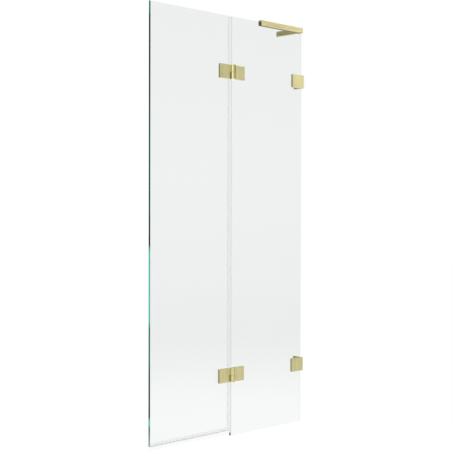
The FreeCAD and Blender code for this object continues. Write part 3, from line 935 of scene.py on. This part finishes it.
class Fittings:
    """Brass fittings with the small pieces that hold them on the glass."""

    def build(self) -> None:
        """Dresses every fitting, each group of brass with a grain along its own length."""
        pin_low, pin_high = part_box("upper_hinge_pin")
        axis = ((pin_low[0] + pin_high[0]) / 2, (pin_low[1] + pin_high[1]) / 2)
        leaves = [f"{level}_hinge_{side}_leaf" for level in LEVELS for side in ("fixed", "moving")]
        caps = [f"{level}_hinge_cap" for level in LEVELS]
        brackets = [f"{level}_wall_bracket" for level in LEVELS]
        discs = [f"{family}_back_discs" for family in FAMILIES]
        self._brass("bracket_brushed_brass", Grain.UPRIGHT, brackets)
        self._brass("hinge_brushed_brass", Grain.UPRIGHT, leaves + caps, axis)
        self._brass("channel_brushed_brass", Grain.ALONG_GLASS, ["brace_glass_channel"])
        self._brass("bar_brushed_brass", Grain.ALONG_WALL, ["brace_wall_bar"])
        self._brass("disc_brushed_brass", Grain.ALONG_GLASS, discs)
        steel = [f"{family}_screws" for family in FAMILIES]
        steel += ["brace_grub_screws", "brace_corner_screws"]
        steel += [f"{level}_hinge_pin" for level in LEVELS]
        dress(STEEL, steel)
        nylon = [f"{family}_glass_sleeves" for family in FAMILIES]
        nylon += [f"{family}_back_washers" for family in FAMILIES]
        nylon += [f"{level}_hinge_bush" for level in LEVELS]
        dress(WHITE_NYLON, nylon)
        # The thrust washers' dark colour is partly painted shade for the hinge split
        dress(DARK_NYLON_SPLIT_SHADE, [f"{level}_hinge_thrust_washer" for level in LEVELS])
        dress(LINER, ["brace_channel_liner"])
        dress(GASKET, [f"{family}_gaskets" for family in FAMILIES])

    @staticmethod
    def _brass(
        name: str, grain: Grain, nodes: Sequence[str], axis: tuple[float, float] | None = None
    ) -> None:
        """Dresses nodes in brass.

        Args:
            name: the finish's name.
            grain: direction of the brushing.
            nodes: the nodes' names.
            axis: (x, y) of the upright axis around which the brass is turned, where there is one.
        """
        dress(BrushedMetal(name, grain, BRASS_DARK, BRASS_LIGHT, BRASS_GLOSS, axis), nodes)


@dataclass(frozen=True)
class Lamp:
    """Soft lamp that points at a place on the screen, and lights all of it or its fittings alone."""

    name: str
    place: Triple
    target: Triple
    size: tuple[float, float]
    power: float
    beam: float = 180.0
    on_fittings: bool = False

    def build(self) -> None:
        """Adds the lamp. One for the fittings alone leaves no image of itself in the glass."""
        data = bpy.data.lights.new(self.name, "AREA")
        data.shape = "RECTANGLE"
        data.size, data.size_y = self.size
        data.energy = self.power
        data.spread = math.radians(self.beam)
        lamp = bpy.data.objects.new(self.name, data)
        ahead = np.array(self.target) - np.array(self.place)
        lamp.matrix_world = facing_matrix(np.array(self.place), ahead / np.linalg.norm(ahead), 0.0)
        bpy.context.scene.collection.objects.link(lamp)
        if self.on_fittings:
            lit = bpy.data.collections.new(f"{self.name}_fittings")
            for name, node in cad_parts.items():
                if not name.endswith("glass_panel"):
                    lit.objects.link(node)
            lamp.light_linking.receiver_collection = lit


def facing_matrix(place: np.ndarray, ahead: np.ndarray, roll: float) -> Matrix:
    """Placement of a camera or lamp that looks along a direction.

    Args:
        place: where it stands.
        ahead: unit direction of view, not straight up or down.
        roll: turn about that direction, in radians.

    Returns:
        The matrix, whose columns are the right, up and backward directions and the place.
    """
    level = np.cross(ahead, (0.0, 0.0, 1.0))
    level /= np.linalg.norm(level)
    above = np.cross(level, ahead)
    right = level * math.cos(roll) + above * math.sin(roll)
    up = above * math.cos(roll) - level * math.sin(roll)
    placement = np.eye(4)
    placement[:3] = np.stack([right, up, -ahead, place], axis=1)
    return Matrix(placement.tolist())


@dataclass(frozen=True)
class Studio:
    """White floor, soft lamps, a pale world, and the camera at the photograph's place."""

    camera_place: Triple = (-2.71434, -2.53731, 0.79917)
    yaw: float = math.radians(44.6128)
    pitch: float = math.radians(-0.7624)
    roll: float = math.radians(0.127)
    lens: float = 79.696
    sensor_width: float = 36.0
    floor_level: float = -0.0005
    floor_half: float = 12.0
    floor_grey: Colour = (0.8, 0.8, 0.8)
    floor_white: float = 1.04
    floor_white_share: float = 0.94
    ambient: float = 0.6
    lamps: tuple[Lamp, ...] = (
        Lamp("key_lamp", (2.6, -2.6, 3.3), (0.0, 0.0, 0.9), (1.8, 1.8), 21.5),
        Lamp("left_lamp", (-3.7, -1.46, 1.3), (-0.2, 0.0, 0.8), (3.2, 2.0), 18.0),
        Lamp("front_lamp", (-1.3, -2.6, 3.4), (0.0, 0.0, 0.8), (1.5, 1.5), 6.0),
        Lamp("low_front_lamp", (1.0, -2.8, 0.4), (0.0, 0.0, 0.3), (1.0, 0.7), 9.0, on_fittings=True),
        Lamp("low_right_lamp", (2.6, -0.9, 0.45), (0.0, 0.0, 0.3), (1.5, 0.8), 6.0, on_fittings=True),
        Lamp("corner_lamp", (1.7, -1.6, 2.3), (0.27, 0.0, 1.23), (0.3, 0.3), 0.14, 14.0),
        Lamp("back_lamp", (-2.0, 2.2, 2.8), (0.1, 0.0, 1.4), (1.2, 1.2), 7.0),
    )
    wall_glow: Stops = (
        (-1.0, 0.4),
        (-0.12, 0.24),
        (0.035, 0.475),
        (0.19, 0.28),
        (0.6, 0.3),
        (1.0, 0.9),
    )
    floor_glow: Stops = (
        (0.3, 1.12),
        (0.6, 0.98),
        (1.0, 0.73),
        (1.6, 0.35),
        (2.6, 0.03),
        (4.5, 0.055),
        (8.0, 0.24),
    )
    wall_ring: Stops = (
        (-180.0, 0.5),
        (-160.0, 0.9),
        (-112.0, 0.9),
        (-90.0, 0.4),
        (-62.0, 0.25),
        (-30.0, 0.55),
        (20.0, 0.79),
        (80.0, 0.84),
        (96.0, 0.18),
        (150.0, 0.18),
        (180.0, 0.5),
    )
    floor_ring: Stops = (
        (-180.0, 0.5),
        (-158.0, 1.7),
        (-118.0, 1.7),
        (-95.0, 0.7),
        (-70.0, 1.05),
        (-40.0, 1.5),
        (-20.0, 1.03),
        (30.0, 1.03),
        (88.0, 1.08),
        (104.0, 0.05),
        (152.0, 0.05),
        (180.0, 0.5),
    )
    wall_cone: Span = (0.955, 0.98)
    floor_band_middle: float = 0.13
    floor_band_spread: float = 0.1
    floor_band: Span = (0.27, 0.4)

    def build(self) -> None:
        """Sets up the floor, the lamps, the world and the camera."""
        self._floor()
        for lamp in self.lamps:
            lamp.build()
        self._world()
        self._camera()
        bpy.context.scene.view_settings.view_transform = "Standard"

    def _floor(self) -> None:
        """Floor, white to the camera with a faint shadow.

        In mirrors it glows by the heading, and by the distance in a band that runs to the right front.
        """
        material, sheet = new_material("studio_floor")
        x, y, _ = sheet.axes(sheet.place())
        matt = sheet.node("ShaderNodeBsdfDiffuse", inputs={"Color": solid(self.floor_grey)})
        white = sheet.shine("ShaderNodeEmission", solid(WHITE), self.floor_white)
        away = (x * x + y * y) ** 0.5
        off_band = abs((x + y) * -DIAGONAL - self.floor_band_middle) - away * self.floor_band_spread
        in_band = 1 - off_band.ease(*self.floor_band)
        around = sheet.glow(self._heading(x, y), self.floor_ring)
        lit = around + (sheet.glow(away, self.floor_glow) - around) * in_band
        mirrored = sheet.shine("ShaderNodeEmission", lit)
        sheet.end(sheet.by_ray(sheet.mix(self.floor_white_share, matt, white), mirrored, matt))
        half = self.floor_half
        corners = np.array([(-half, -half), (half, -half), (half, half), (-half, half)])
        points = np.column_stack([corners, np.full(len(corners), self.floor_level)])
        new_piece("studio_floor", points, [[0, 1, 2, 3]], material)

    @staticmethod
    def _heading(x: Signal, y: Signal) -> Signal:
        """Direction of a place in the room, in degrees to the left of the front."""
        return (x * -1.0).angle(y * -1.0)

    def _world(self) -> None:
        """World: white to the camera and through glass, soft walls in mirrors, an even light elsewhere.

        The walls glow by the heading, and by the height within a cone to the right front.
        """
        world = bpy.data.worlds.new("studio_world")
        world.use_nodes = True
        bpy.context.scene.world = world
        sheet = NodeSheet(world.node_tree)
        x, y, upward = sheet.axes(sheet.node("ShaderNodeTexCoord").outputs["Generated"])
        around = sheet.glow(self._heading(x, y), self.wall_ring)
        in_cone = ((x - y) * DIAGONAL).ease(*self.wall_cone)
        walls = around + (sheet.glow(upward, self.wall_glow) - around) * in_cone
        white = sheet.shine("ShaderNodeBackground", solid(WHITE))
        mirrored = sheet.shine("ShaderNodeBackground", walls)
        even = sheet.shine("ShaderNodeBackground", solid(WHITE), self.ambient)
        sheet.end(sheet.by_ray(white, mirrored, even), "ShaderNodeOutputWorld")

    def _camera(self) -> None:
        """Camera at the photograph's place and angle."""
        data = bpy.data.cameras.new("photo_camera")
        data.sensor_width = self.sensor_width
        data.lens = self.lens
        camera = bpy.data.objects.new("photo_camera", data)
        ahead = np.array(
            [
                math.sin(self.yaw) * math.cos(self.pitch),
                math.cos(self.yaw) * math.cos(self.pitch),
                math.sin(self.pitch),
            ]
        )
        camera.matrix_world = facing_matrix(np.array(self.camera_place), ahead, self.roll)
        bpy.context.scene.collection.objects.link(camera)
        bpy.context.scene.camera = camera


def main() -> None:
    """Builds the studio and every part of the screen."""
    logging.basicConfig(level=logging.INFO, format="%(message)s")
    Studio().build()
    Panels().build()
    Fittings().build()
    SideSeal().build(SIDE_VINYL)
    DripSeal().build(DRIP_VINYL)


if __name__ == "__main__":
    main()
